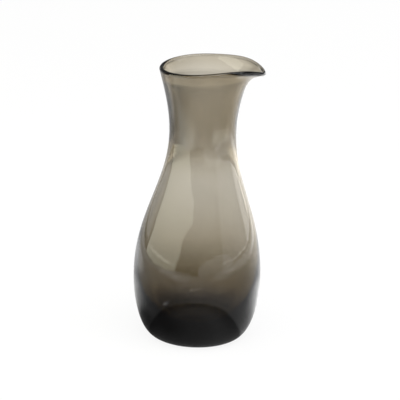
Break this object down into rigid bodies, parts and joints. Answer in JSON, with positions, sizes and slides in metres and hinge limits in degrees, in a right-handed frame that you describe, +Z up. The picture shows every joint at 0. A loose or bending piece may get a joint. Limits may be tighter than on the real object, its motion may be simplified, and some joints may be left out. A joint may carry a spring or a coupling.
{
  "type": "water carafe",
  "caption": "Mouth-blown smoked-glass water carafe with a full belly, drawn-in neck and pulled pouring lip; stands open on a table and pours from the rim.",
  "frame": {"origin": "middle of the ground ring that the carafe stands on, at table height", "axes": "+Z up through the mouth, +X towards the pouring lip, +Y to its left"},
  "size_m": [0.113, 0.113, 0.2498],
  "materials": {
    "smoked_glass": "clear smoked brown-grey glass, glossy, nearly black where it is thick in the floor"
  },
  "bodies": {
    "root": {"glass_carafe": "smoked_glass"}
  },
  "joints": []
}
